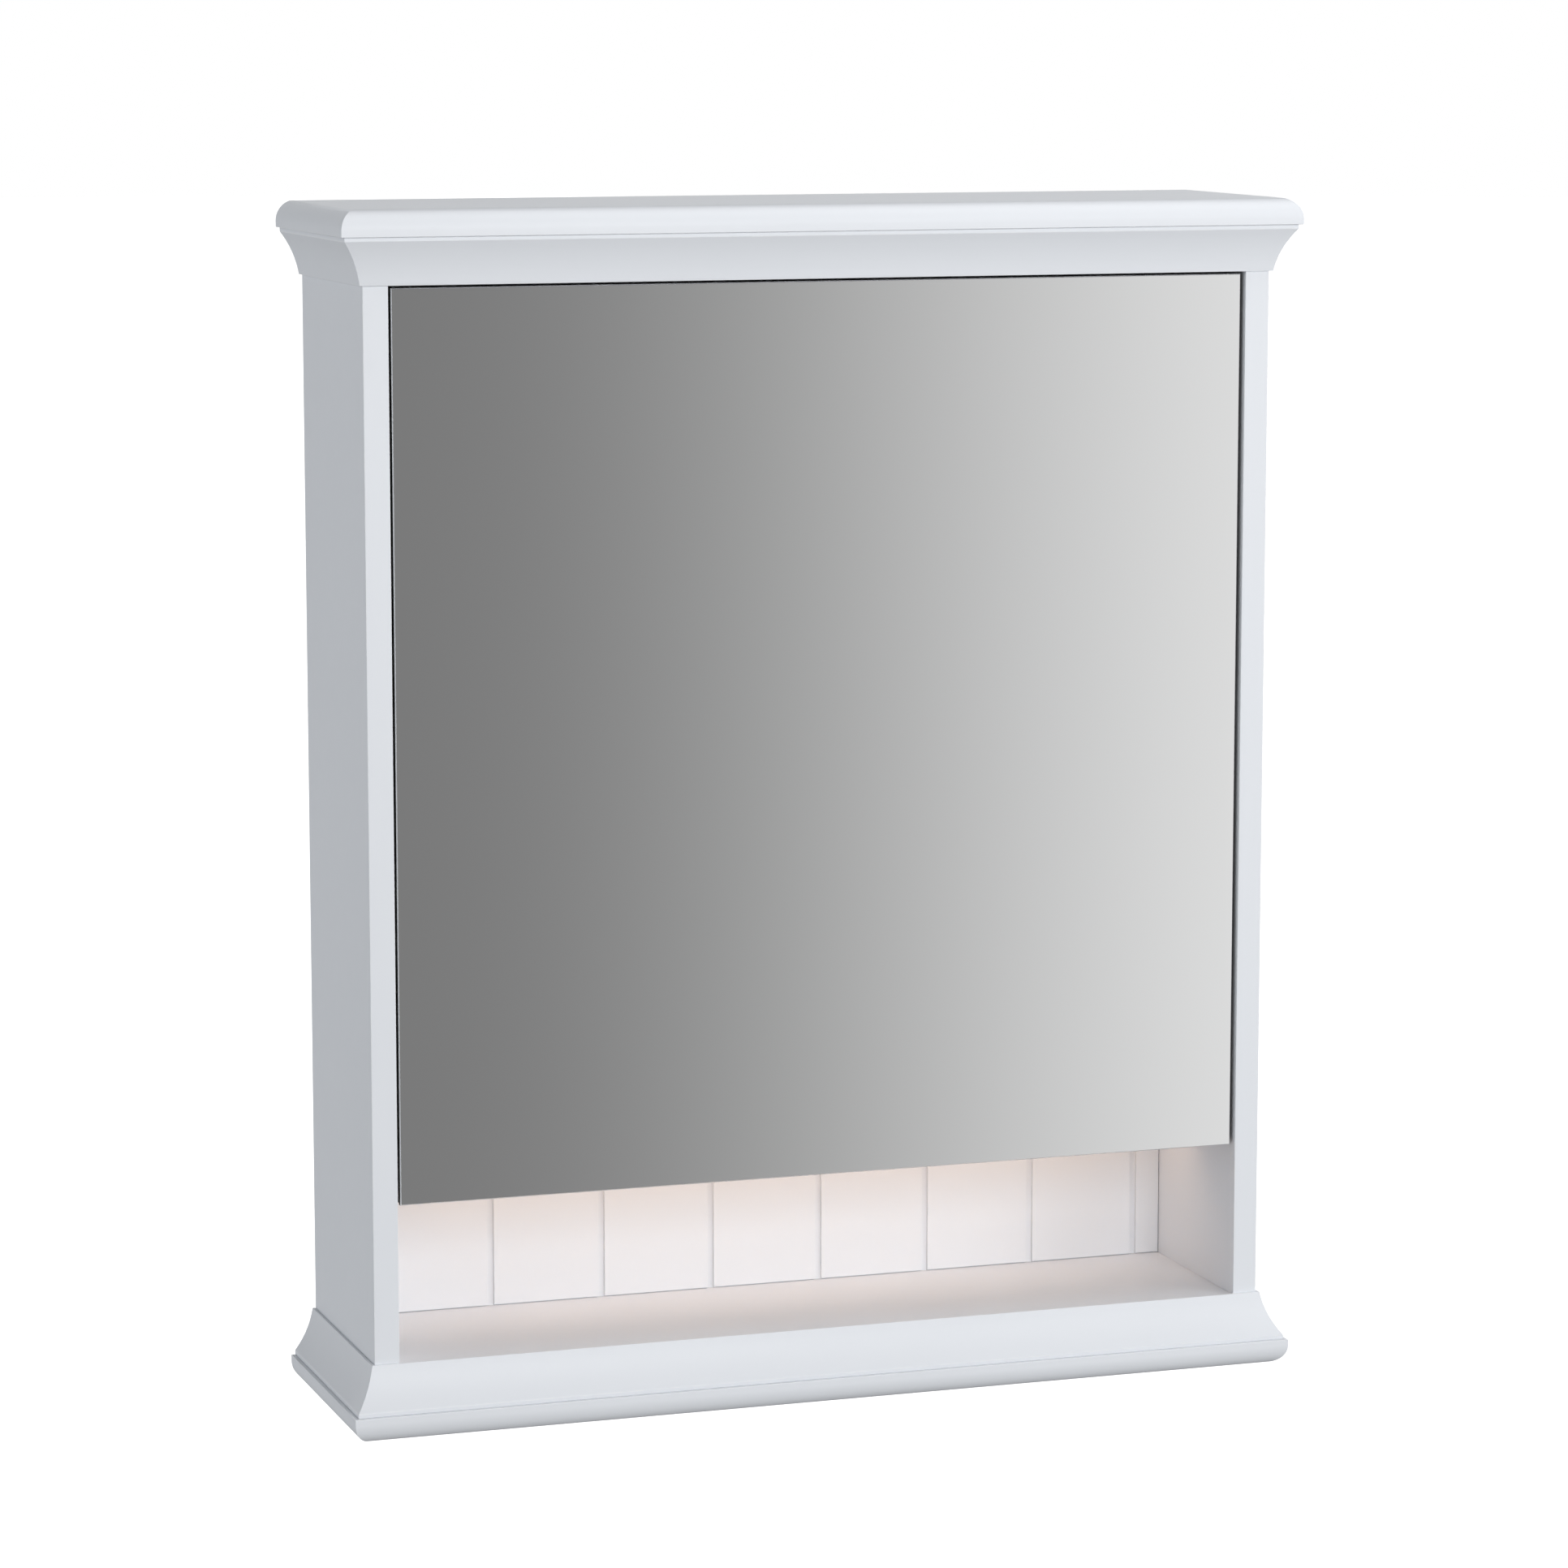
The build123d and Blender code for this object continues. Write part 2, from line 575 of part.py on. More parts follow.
def shelf_pin(side, y, height):
    """A shelf support: a round peg in the side panel with a flat tongue."""
    inward = (-side, 0, 0)
    peg = rod(PIN_RADIUS, (side * (INNER + PIN_IN_SIDE), y, height - PIN_RADIUS), inward, PIN_IN_SIDE)
    collar = rod(PIN_COLLAR_RADIUS, (side * INNER, y, height - PIN_COLLAR_RADIUS), inward, PIN_COLLAR)
    tongue_x = (side * INNER, side * (INNER - PIN_TONGUE))
    tongue = block(tongue_x, around(y, PIN_COLLAR_RADIUS), (height - PIN_TONGUE_HEIGHT, height))
    return peg + collar + tongue


for word, height in zip(("lower", "upper"), SHELF_HEIGHTS):
    save(f"glass_shelf_{word}", glass_shelf(height))
save("shelf_pins", group(shelf_pin(side, y, z) for side in SIDES for y in PIN_Y for z in SHELF_HEIGHTS))


# ------------------------------------------------------------------------ hinges
# The door turns about a pin that lies deep in its hinge cup, close to the
# mirror. A gooseneck arm, curved about that pin, reaches it from the cabinet.
PIN_FROM_EDGE = 14.2
PIN_FROM_FACE = 8.0
HINGE_PIN_RADIUS = 1.5
HINGE_PIN_HALF = 13.5
RUNNING = 0.05
CUP_FROM_EDGE = 22.0
CUP_RADIUS = 17.5
CUP_BORE = 16.3
CUP_DEPTH = 15.5
CUP_FLOOR = 0.6
FLANGE = 1.5
FLANGE_REACH = (-13.0, 17.0)
FLANGE_HALF_HEIGHT = 31.0
FLANGE_ROUND = 8.0
FLANGE_SCREW_Z = 24.0
FLANGE_SCREW_BACK = 6.0
CUP_SCREW_LENGTH = 14.0
CHEEK_FROM_MIDDLE = 6.2
CHEEK_HALF_WIDTH = 4.5
CHEEK_BELOW_RIM = 4.0
NECK_IN = 19.4
NECK_OUT = 22.0
NECK_HALF = 5.0
SPOKE_HALF = 1.3
EYE_RADIUS = 2.6
EYE_HALF = 5.8
ARM_X = (262.0, 270.0)
ARM_REAR = -66.0
ARM_TOP = 2.0
ARM_FLANGE = 1.6
ARM_SCREW_Y = (-100.0, -78.0)
SIDE_SCREW_LENGTH = 13.0
MOUNT_Y = -94.3
MOUNT_PLATE = 2.5
MOUNT_BAR = (22.0, 9.0)
MOUNT_WINGS = (8.0, 26.0)
MOUNT_ROUND = 6.0
MOUNT_SEAT_Y = (MOUNT_Y - 18, MOUNT_Y + 22)
MOUNT_SEAT_HALF = 7.0
MOUNT_KEY_Y = (MOUNT_Y - 14, MOUNT_Y + 20)
MOUNT_KEY_HALF = 3.3
MOUNT_SCREW_Z = 16.0
PIN_X = DOOR_X - PIN_FROM_EDGE
PIN_Y_PLACE = DOOR_FRONT + PIN_FROM_FACE
CUP_X = DOOR_X - CUP_FROM_EDGE


def along_y(radius, x, z, y_from, y_to):
    """A round bar parallel to Y."""
    return rod(radius, (x, y_from, z), TO_WALL, y_to - y_from)


def hinge_axis(radius, height, half):
    """A round bar on the axis that the door turns about."""
    return rod(radius, (PIN_X, PIN_Y_PLACE, height - half), UP, 2 * half)


def flange_screw_at(height, side):
    start = (CUP_X - FLANGE_SCREW_BACK, DOOR_BACK + FLANGE, height + side * FLANGE_SCREW_Z)
    return (*SMALL_SCREW, start, TO_FRONT, CUP_SCREW_LENGTH)


def plate_screw_at(height, side):
    start = (INNER - MOUNT_PLATE, MOUNT_Y, height + side * MOUNT_SCREW_Z)
    return (*SMALL_SCREW, start, TO_RIGHT, SIDE_SCREW_LENGTH)


def arm_screw_at(height, y):
    return (*ARM_SCREW, (ARM_X[0], y, height), TO_RIGHT, SIDE_SCREW_LENGTH)


def hinge_cup(height):
    """The cup, its flange on the back of the door and the two cheeks of the pin."""
    floor = DOOR_BACK - CUP_DEPTH
    cup = along_y(CUP_RADIUS, CUP_X, height, floor, DOOR_BACK)
    flange_x = (CUP_X + FLANGE_REACH[0], CUP_X + FLANGE_REACH[1])
    flange = block(flange_x, (DOOR_BACK, DOOR_BACK + FLANGE), around(height, FLANGE_HALF_HEIGHT))
    cup += fillet(flange.edges().filter_by(Axis.Y), FLANGE_ROUND)
    bore = along_y(CUP_BORE, CUP_X, height, floor + CUP_FLOOR, DOOR_BACK + FLANGE)
    cup -= bore
    cheek_y = (floor + CUP_FLOOR, DOOR_BACK - CHEEK_BELOW_RIM)
    for side in SIDES:
        cheek_z = (height + side * CHEEK_FROM_MIDDLE, height + side * CUP_BORE)
        cup += block(around(PIN_X, CHEEK_HALF_WIDTH), cheek_y, cheek_z) & bore
        cup -= screw_hole(*flange_screw_at(height, side))
    return cup - hinge_axis(HINGE_PIN_RADIUS, height, HINGE_PIN_HALF)


def hinge_arm(height):
    """The fixed arm: a straight channel, the gooseneck and the eye of the pin."""
    z = around(height, NECK_HALF)
    ring = hinge_axis(NECK_OUT, height, NECK_HALF) - hinge_axis(NECK_IN, height, NECK_HALF)
    quarter = block((PIN_X - CUP_RADIUS - NECK_OUT, PIN_X + 1), (PIN_Y_PLACE - SPOKE_HALF, ARM_REAR), z)
    spoke = block((PIN_X - NECK_OUT + 1, PIN_X - 1), around(PIN_Y_PLACE, SPOKE_HALF), z)
    channel = block(ARM_X, (PIN_Y_PLACE + NECK_IN, ARM_REAR), z)
    hollow_x = (ARM_X[0] + ARM_TOP, ARM_X[1])
    hollow_y = (PIN_Y_PLACE + NECK_OUT + ARM_TOP, ARM_REAR)
    channel -= block(hollow_x, hollow_y, around(height, NECK_HALF - ARM_FLANGE))
    arm = (ring & quarter) + spoke + hinge_axis(EYE_RADIUS, height, EYE_HALF) + channel
    arm -= hinge_axis(HINGE_PIN_RADIUS + RUNNING, height, EYE_HALF)
    for y in ARM_SCREW_Y:
        arm -= screw_hole(*arm_screw_at(height, y))
    return arm


def hinge_plate(height):
    """The mounting plate: a cross on the side panel with a raised seat for the arm."""
    on_side = (INNER - MOUNT_PLATE, INNER)
    bar = block(on_side, around(MOUNT_Y, MOUNT_BAR[0]), around(height, MOUNT_BAR[1]))
    wings = block(on_side, around(MOUNT_Y, MOUNT_WINGS[0]), around(height, MOUNT_WINGS[1]))
    wings = fillet(wings.edges().filter_by(Axis.X), MOUNT_ROUND)
    seat = block((ARM_X[1], INNER - MOUNT_PLATE), MOUNT_SEAT_Y, around(height, MOUNT_SEAT_HALF))
    key = block((ARM_X[0] + ARM_TOP, ARM_X[1]), MOUNT_KEY_Y, around(height, MOUNT_KEY_HALF))
    plate = bar + wings + seat + key
    for side in SIDES:
        plate -= screw_hole(*plate_screw_at(height, side))
    for y in ARM_SCREW_Y:
        plate -= screw_hole(*arm_screw_at(height, y))
    return plate


panel_half = DOOR_X - GLASS_OVERHANG - EDGING
panel_z = (DOOR_BOTTOM + GLASS_OVERHANG + EDGING, DOOR_TOP - GLASS_OVERHANG - EDGING)
door_panel = block(around(0, panel_half), (PANEL_FRONT, DOOR_BACK), panel_z)
side_panel_right = side_panel(1)
cup_screws = []
plate_screws = []
arm_screws = []
for word, height in zip(("lower", "upper"), HINGE_HEIGHTS):
    save(f"hinge_cup_{word}", hinge_cup(height))
    save(f"hinge_arm_{word}", hinge_arm(height))
    save(f"hinge_plate_{word}", hinge_plate(height))
    save(f"hinge_pin_{word}", hinge_axis(HINGE_PIN_RADIUS, height, HINGE_PIN_HALF))
    door_panel -= along_y(CUP_RADIUS + SPARE, CUP_X, height, PANEL_FRONT, DOOR_BACK)
    for side in SIDES:
        cup_screws.append(screw(*flange_screw_at(height, side)))
        plate_screws.append(screw(*plate_screw_at(height, side)))
        door_panel -= screw_hole(*flange_screw_at(height, side))
        side_panel_right -= screw_hole(*plate_screw_at(height, side))
    for y in ARM_SCREW_Y:
        arm_screws.append(screw(*arm_screw_at(height, y)))
save("hinge_cup_screws", group(cup_screws))
save("hinge_plate_screws", group(plate_screws))
save("hinge_arm_screws", group(arm_screws))
save("side_panel_right", side_panel_right)
save("door_panel", door_panel)


# -------------------------------------------------------------------------- door
def edging(x, z):
    """One strip of the dark edging that covers the edges of the door panel."""
    return block(x, (PANEL_FRONT, DOOR_BACK), z)


upright_z = (panel_z[0] - EDGING, panel_z[1] + EDGING)
uprights = [edging((side * panel_half, side * (panel_half + EDGING)), upright_z) for side in SIDES]
lower_edging = edging(around(0, panel_half), (panel_z[0] - EDGING, panel_z[0]))
upper_edging = edging(around(0, panel_half), (panel_z[1], panel_z[1] + EDGING))
save("door_edging", group([*uprights, lower_edging, upper_edging]))

BUMPER_RADIUS = 5.0
BUMPER_X = (-250.0, 150.0)
BUMPER_Z = COMPARTMENT_FLOOR_BOTTOM + BOARD / 2

mirror_glass = block(around(0, DOOR_X), (DOOR_FRONT, PANEL_FRONT), (DOOR_BOTTOM, DOOR_TOP))
front_edges = mirror_glass.faces().sort_by(Axis.Y)[0].edges()
save("door_mirror", chamfer(front_edges, GLASS_CHAMFER))
bumpers = [along_y(BUMPER_RADIUS, x, BUMPER_Z, DOOR_BACK, COMPARTMENT_FRONT) for x in BUMPER_X]
save("door_bumpers", group(bumpers))
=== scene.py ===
import json
import math
import bmesh
import bpy
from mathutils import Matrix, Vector


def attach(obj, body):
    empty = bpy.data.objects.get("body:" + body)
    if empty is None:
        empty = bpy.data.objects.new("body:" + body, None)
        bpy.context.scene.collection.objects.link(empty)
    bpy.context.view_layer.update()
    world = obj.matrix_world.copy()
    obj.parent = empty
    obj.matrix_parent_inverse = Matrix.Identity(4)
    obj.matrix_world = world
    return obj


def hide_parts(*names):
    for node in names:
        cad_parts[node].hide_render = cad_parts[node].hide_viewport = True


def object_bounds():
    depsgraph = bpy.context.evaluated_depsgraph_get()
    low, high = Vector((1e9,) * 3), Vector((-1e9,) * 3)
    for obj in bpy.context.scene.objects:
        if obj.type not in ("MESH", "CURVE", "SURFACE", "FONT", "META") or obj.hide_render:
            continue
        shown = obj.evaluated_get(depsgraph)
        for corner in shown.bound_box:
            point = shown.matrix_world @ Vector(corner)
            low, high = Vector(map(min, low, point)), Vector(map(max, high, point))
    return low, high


# A wall-hung bathroom cabinet: painted boards, one mirror door and a warm light
# over its open niche. Metres, +X to the right, the front looks along -Y.

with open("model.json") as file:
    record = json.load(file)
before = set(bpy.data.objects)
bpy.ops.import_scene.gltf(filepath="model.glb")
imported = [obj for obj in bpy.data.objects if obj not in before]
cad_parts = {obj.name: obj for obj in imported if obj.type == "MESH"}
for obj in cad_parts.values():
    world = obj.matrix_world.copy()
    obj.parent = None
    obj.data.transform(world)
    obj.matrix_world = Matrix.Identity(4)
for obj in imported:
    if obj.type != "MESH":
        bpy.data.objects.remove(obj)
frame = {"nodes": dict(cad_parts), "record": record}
cad_low, cad_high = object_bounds()
CAD = frame["nodes"]
for thing in CAD.values():
    thing.data.materials.clear()
for plain in list(bpy.data.materials):
    bpy.data.materials.remove(plain)


# ------------------------------------------------------------------ camera
# Place in metres, turn in degrees, lens and sensor in millimetres.
CAMERA_AT = (-1.0763, -3.2500, 0.2015)
CAMERA_TURN = (81.635, 0.0, -18.687)
CAMERA_LENS = 121.34
CAMERA_SENSOR = 36.0


def make_camera():
    data = bpy.data.cameras.new("camera")
    data.sensor_width = CAMERA_SENSOR
    data.lens = CAMERA_LENS
    data.dof.use_dof = False
    camera = bpy.data.objects.new("camera", data)
    camera.location = CAMERA_AT
    camera.rotation_euler = [math.radians(turn) for turn in CAMERA_TURN]
    bpy.context.scene.collection.objects.link(camera)
    bpy.context.scene.camera = camera


make_camera()
bpy.context.scene.view_settings.view_transform = "Standard"


# --------------------------------------------------------------- node trees
# A Mix node shows numbers and colours at different sockets: two inputs, one output.
MIX_NUMBER_SOCKETS = (2, 3, 0)
MIX_COLOUR_SOCKETS = (6, 7, 2)


class Tree:
    """Short ways to add nodes and links to one node tree."""

    def __init__(self, tree):
        self.tree = tree

    def add(self, kind, **settings):
        node = self.tree.nodes.new(kind)
        for name, value in settings.items():
            setattr(node, name, value)
        return node

    def link(self, output, target):
        self.tree.links.new(output, target)

    def math(self, operation, *values):
        node = self.add("ShaderNodeMath", operation=operation)
        for socket, value in zip(node.inputs, values):
            self.feed(socket, value)
        return node.outputs[0]

    def feed(self, socket, value):
        if isinstance(value, bpy.types.NodeSocket):
            self.link(value, socket)
        else:
            socket.default_value = value

    def remap(self, value, low, high, to_low=0.0, to_high=1.0, ease="SMOOTHSTEP"):
        """The value's way from low to high, laid out from to_low to to_high."""
        node = self.add("ShaderNodeMapRange", interpolation_type=ease, clamp=True)
        for socket, number in zip(node.inputs, (value, low, high, to_low, to_high)):
            self.feed(socket, number)
        return node.outputs[0]

    def between(self, kind, sockets, amount, first, second):
        """A Mix node of one kind, fed and read at that kind's own sockets."""
        node = self.add("ShaderNodeMix", data_type=kind)
        first_input, second_input, result = sockets
        self.feed(node.inputs[0], amount)
        self.feed(node.inputs[first_input], first)
        self.feed(node.inputs[second_input], second)
        return node.outputs[result]

    def blend(self, amount, first, second):
        """The first number at amount 0, the second at 1."""
        return self.between("FLOAT", MIX_NUMBER_SOCKETS, amount, first, second)

    def mix(self, amount, first, second):
        """The first colour at amount 0, the second at 1."""
        return self.between("RGBA", MIX_COLOUR_SOCKETS, amount, first, second)

    def noise(self, place, scale, detail=4.0, rough=0.5):
        node = self.add("ShaderNodeTexNoise")
        self.feed(node.inputs["Vector"], place)
        node.inputs["Scale"].default_value = scale
        node.inputs["Detail"].default_value = detail
        node.inputs["Roughness"].default_value = rough
        return node.outputs["Fac"]


# ------------------------------------------------------------ studio and light
# How bright the studio is in each direction. A wide soft box stands to the front
# right of the cabinet, and the mirror shows its soft left edge. Bearings turn from
# straight ahead of the front towards +X. The last two edges are the height that a
# direction one metre long reaches. The light from the left is a touch bluer.
STUDIO = {"round": 0.82, "ahead": 0.205, "box": 0.86, "above": 0.10, "below": 0.27}
LEFT_EDGE = (math.radians(-55.0), math.radians(-8.0))
BOX_LEFT_EDGE = (math.radians(13.25), math.radians(27.95))
BOX_RIGHT_EDGE = (math.radians(80.0), math.radians(100.0))
OVERHEAD = (0.35, 0.65)
UNDERFOOT = (-0.55, -0.25)
WHITE = (1.0, 1.0, 1.0, 1.0)
COOL = (0.982, 1.0, 1.022, 1.0)


def make_world(levels):
    """The studio's light from all round, and plain white where the camera sees it."""
    world = bpy.data.worlds.new("studio")
    bpy.context.scene.world = world
    world.use_nodes = True
    tree = Tree(world.node_tree)
    world.node_tree.nodes.clear()
    way = tree.add("ShaderNodeSeparateXYZ")
    tree.link(tree.add("ShaderNodeTexCoord").outputs["Generated"], way.inputs[0])
    height = way.outputs["Z"]
    forward = tree.math("MULTIPLY", way.outputs["Y"], -1.0)
    bearing = tree.math("ARCTAN2", way.outputs["X"], forward)
    past_left = tree.remap(bearing, *LEFT_EDGE)
    in_box = tree.remap(bearing, *BOX_LEFT_EDGE, ease="SMOOTHERSTEP")
    level = tree.blend(past_left, levels["round"], levels["ahead"])
    level = tree.blend(in_box, level, levels["box"])
    level = tree.blend(tree.remap(bearing, *BOX_RIGHT_EDGE), level, levels["round"])
    level = tree.blend(tree.remap(height, *OVERHEAD), level, levels["above"])
    level = tree.blend(tree.remap(height, *UNDERFOOT), levels["below"], level)
    lit = tree.add("ShaderNodeBackground")
    tree.link(level, lit.inputs["Strength"])
    tree.link(tree.mix(past_left, COOL, WHITE), lit.inputs["Color"])
    plain = tree.add("ShaderNodeBackground")
    plain.inputs["Color"].default_value = WHITE
    seen = tree.add("ShaderNodeMixShader")
    straight = tree.add("ShaderNodeLightPath").outputs["Is Camera Ray"]
    for socket, source in zip(seen.inputs, (straight, lit.outputs[0], plain.outputs[0])):
        tree.link(source, socket)
    output = tree.add("ShaderNodeOutputWorld")
    tree.link(seen.outputs[0], output.inputs["Surface"])


# Soft lights: bearing and height in degrees as seen from the cabinet, then the
# distance and the size in metres, and the power in watts.
LIGHTS = {
    "front": (5.0, 14.0, 3.4, 1.2, 43.5),
    "right": (45.0, 8.0, 2.8, 1.2, 11.0),
    "overhead": (65.0, 70.0, 2.5, 1.5, 20.0),
}


def soft_light(name, bearing, height, distance, size, power):
    """A square soft light aimed at the middle of the cabinet."""
    middle = (cad_low + cad_high) / 2
    across = math.radians(bearing)
    up = math.radians(height)
    sideways = math.cos(up)
    away = Vector((math.sin(across) * sideways, -math.cos(across) * sideways, math.sin(up)))
    data = bpy.data.lights.new(name, "AREA")
    data.size = size
    data.energy = power
    lamp = bpy.data.objects.new(name, data)
    lamp.location = middle + away * distance
    lamp.rotation_euler = away.to_track_quat("Z", "Y").to_euler()
    bpy.context.scene.collection.objects.link(lamp)


make_world(STUDIO)
for name, settings in LIGHTS.items():
    soft_light(name, *settings)


# ---------------------------------------------------------------- materials
# Colours are linear, and each material varies between its own tones. Noise scales
# are in waves per metre, about, and bump distances in metres.
def new_material(name):
    """A material with a Principled shader, and the coordinates that it uses."""
    made = bpy.data.materials.new(name)
    made.use_nodes = True
    tree = Tree(made.node_tree)
    shader = made.node_tree.nodes["Principled BSDF"]
    place = tree.add("ShaderNodeTexCoord").outputs["Object"]
    return made, tree, shader, place


def add_bump(tree, shader, height, strength, distance):
    bump = tree.add("ShaderNodeBump")
    bump.inputs["Strength"].default_value = strength
    bump.inputs["Distance"].default_value = distance
    tree.link(height, bump.inputs["Height"])
    tree.link(bump.outputs[0], shader.inputs["Normal"])


def stretched(tree, place, scales):
    """The coordinates, drawn out so that noise runs along the smallest scale."""
    node = tree.add("ShaderNodeMapping")
    tree.link(place, node.inputs["Vector"])
    node.inputs["Scale"].default_value = scales
    return node.outputs[0]


def painted_board():
    """Sprayed satin paint: a faint orange peel, and edges rubbed a little smoother."""
    shaded = (0.790, 0.815, 0.855, 1.0)
    clean = (0.815, 0.840, 0.880, 1.0)
    rubbed_tone = (0.86, 0.87, 0.89, 1.0)
    most_rubbed = 0.6
    edge_polish = 0.12
    made, tree, shader, place = new_material("painted_board")
    broad = tree.noise(place, scale=5.0, detail=3.0)
    fine = tree.noise(place, scale=140.0, detail=2.0)
    worn = tree.add("ShaderNodeAttribute", attribute_name="edge").outputs["Fac"]
    rubbed = tree.math("MULTIPLY", worn, tree.remap(fine, 0.35, 0.65, to_high=most_rubbed))
    tree.link(tree.mix(rubbed, tree.mix(broad, shaded, clean), rubbed_tone), shader.inputs["Base Color"])
    satin = tree.remap(fine, 0.3, 0.7, to_low=0.42, to_high=0.48, ease="LINEAR")
    rough = tree.math("SUBTRACT", satin, tree.math("MULTIPLY", worn, edge_polish))
    tree.link(rough, shader.inputs["Roughness"])
    peel = tree.noise(place, scale=620.0, detail=2.0, rough=0.6)
    add_bump(tree, shader, peel, strength=0.10, distance=0.00006)
    shader.inputs["Specular IOR Level"].default_value = 0.42
    return made


def raw_board():
    """Bare fibreboard: felted brown fibres."""
    dark = (0.34, 0.235, 0.145, 1.0)
    mid = (0.40, 0.285, 0.18, 1.0)
    pale = (0.52, 0.39, 0.26, 1.0)
    made, tree, shader, place = new_material("raw_board")
    along = stretched(tree, place, (1.0, 1.0, 3.0))
    fibres = tree.noise(along, scale=320.0, detail=6.0, rough=0.7)
    cloud = tree.noise(place, scale=14.0, detail=3.0)
    tree.link(tree.mix(fibres, tree.mix(cloud, dark, mid), pale), shader.inputs["Base Color"])
    shader.inputs["Roughness"].default_value = 0.88
    add_bump(tree, shader, fibres, strength=0.5, distance=0.0002)
    return made


def mirror_glass():
    """Silvered glass, with the faintest unevenness. Its ground sides and back are dark."""
    silver = ((0.925, 0.930, 0.930, 1.0), (0.935, 0.938, 0.938, 1.0))
    side = ((0.006, 0.009, 0.008, 1.0), (0.016, 0.021, 0.019, 1.0))
    made, tree, shader, place = new_material("mirror_glass")
    haze = tree.noise(place, scale=3.0, detail=3.0)
    grit = tree.noise(place, scale=700.0, detail=3.0)
    ground = tree.add("ShaderNodeAttribute", attribute_name="ground").outputs["Fac"]
    tone = tree.mix(ground, tree.mix(haze, *silver), tree.mix(grit, *side))
    tree.link(tone, shader.inputs["Base Color"])
    tree.link(tree.math("SUBTRACT", 1.0, ground), shader.inputs["Metallic"])
    polish = tree.remap(haze, 0.3, 0.7, to_low=0.004, to_high=0.012, ease="LINEAR")
    rough = tree.remap(grit, 0.3, 0.7, to_low=0.38, to_high=0.55, ease="LINEAR")
    tree.link(tree.blend(ground, polish, rough), shader.inputs["Roughness"])
    waves = tree.noise(place, scale=9.0, detail=1.0)
    add_bump(tree, shader, waves, strength=0.02, distance=0.00002)
    return made


GLASS_IOR = 1.52
SILICONE_IOR = 1.42


def clear_glass():
    """Clear glass shelf: polished faces above and below, ground and greener edges."""
    face_tone = (0.955, 0.985, 0.970, 1.0)
    edge_tone = (0.52, 0.80, 0.70, 1.0)
    made, tree, shader, place = new_material("clear_glass")
    split = tree.add("ShaderNodeSeparateXYZ")
    tree.link(tree.add("ShaderNodeNewGeometry").outputs["Normal"], split.inputs[0])
    steepness = tree.math("ABSOLUTE", split.outputs["Z"])
    edge = tree.remap(steepness, 0.5, 0.9, to_low=1.0, to_high=0.0)
    tree.link(tree.mix(edge, face_tone, edge_tone), shader.inputs["Base Color"])
    grain = tree.noise(place, scale=900.0, detail=2.0)
    ground = tree.remap(grain, 0.2, 0.8, to_low=0.2, to_high=0.4)
    tree.link(tree.math("MULTIPLY", edge, ground), shader.inputs["Roughness"])
    shader.inputs["Transmission Weight"].default_value = 1.0
    shader.inputs["IOR"].default_value = GLASS_IOR
    add_bump(tree, shader, tree.math("MULTIPLY", edge, grain), strength=0.2, distance=0.00005)
    return made


def dowel_wood():
    """Beech turned along X, with short dark flecks."""
    fleck = (0.42, 0.26, 0.13, 1.0)
    wood = (0.66, 0.47, 0.28, 1.0)
    made, tree, shader, place = new_material("dowel_wood")
    along = stretched(tree, place, (30.0, 400.0, 400.0))
    grain = tree.noise(along, scale=3.0, detail=5.0, rough=0.6)
    tree.link(tree.mix(grain, fleck, wood), shader.inputs["Base Color"])
    rough = tree.remap(grain, 0.2, 0.8, to_low=0.55, to_high=0.72, ease="LINEAR")
    tree.link(rough, shader.inputs["Roughness"])
    add_bump(tree, shader, grain, strength=0.3, distance=0.0001)
    return made


def plated(name, dark, light, rough, scale, draw=(1.0, 1.0, 1.0)):
    """Plated or cast metal: its tone and its roughness vary between two values."""
    rough_low, rough_high = rough
    made, tree, shader, place = new_material(name)
    grain = tree.noise(stretched(tree, place, draw), scale, detail=4.0, rough=0.55)
    tree.link(tree.mix(grain, (*dark, 1.0), (*light, 1.0)), shader.inputs["Base Color"])
    dull = tree.remap(grain, 0.25, 0.75, to_low=rough_low, to_high=rough_high, ease="LINEAR")
    tree.link(dull, shader.inputs["Roughness"])
    shader.inputs["Metallic"].default_value = 1.0
    add_bump(tree, shader, grain, strength=0.12, distance=0.00004)
    return made


def moulded(name, dark, light, roughness):
    """Moulded plastic with a fine spark-eroded texture, and its shader."""
    spread = 0.05
    made, tree, shader, place = new_material(name)
    grain = tree.noise(place, scale=260.0, detail=3.0)
    tree.link(tree.mix(grain, (*dark, 1.0), (*light, 1.0)), shader.inputs["Base Color"])
    smooth, coarse = roughness - spread, roughness + spread
    rough = tree.remap(grain, 0.2, 0.8, to_low=smooth, to_high=coarse, ease="LINEAR")
    tree.link(rough, shader.inputs["Roughness"])
    add_bump(tree, shader, grain, strength=0.15, distance=0.00005)
    return made, shader


def plain_moulded(*settings):
    """Moulded plastic that needs nothing more."""
    return moulded(*settings)[0]


# The lamp under the compartment floor: a warm white.
LAMP_COLOUR = (1.0, 0.685, 0.47, 1.0)
LAMP_STRENGTH = 3.35


def opal_plastic():
    """The lit diffuser: milky plastic that glows a warm white."""
    made, shader = moulded("opal_plastic", (0.86, 0.82, 0.76), (0.92, 0.88, 0.82), 0.5)
    shader.inputs["Emission Color"].default_value = LAMP_COLOUR
    shader.inputs["Emission Strength"].default_value = LAMP_STRENGTH
    return made


def clear_bumper():
    """Soft clear silicone."""
    made, shader = moulded("clear_bumper", (0.78, 0.79, 0.80), (0.88, 0.89, 0.90), 0.32)
    shader.inputs["Transmission Weight"].default_value = 0.7
    shader.inputs["IOR"].default_value = SILICONE_IOR
    return made


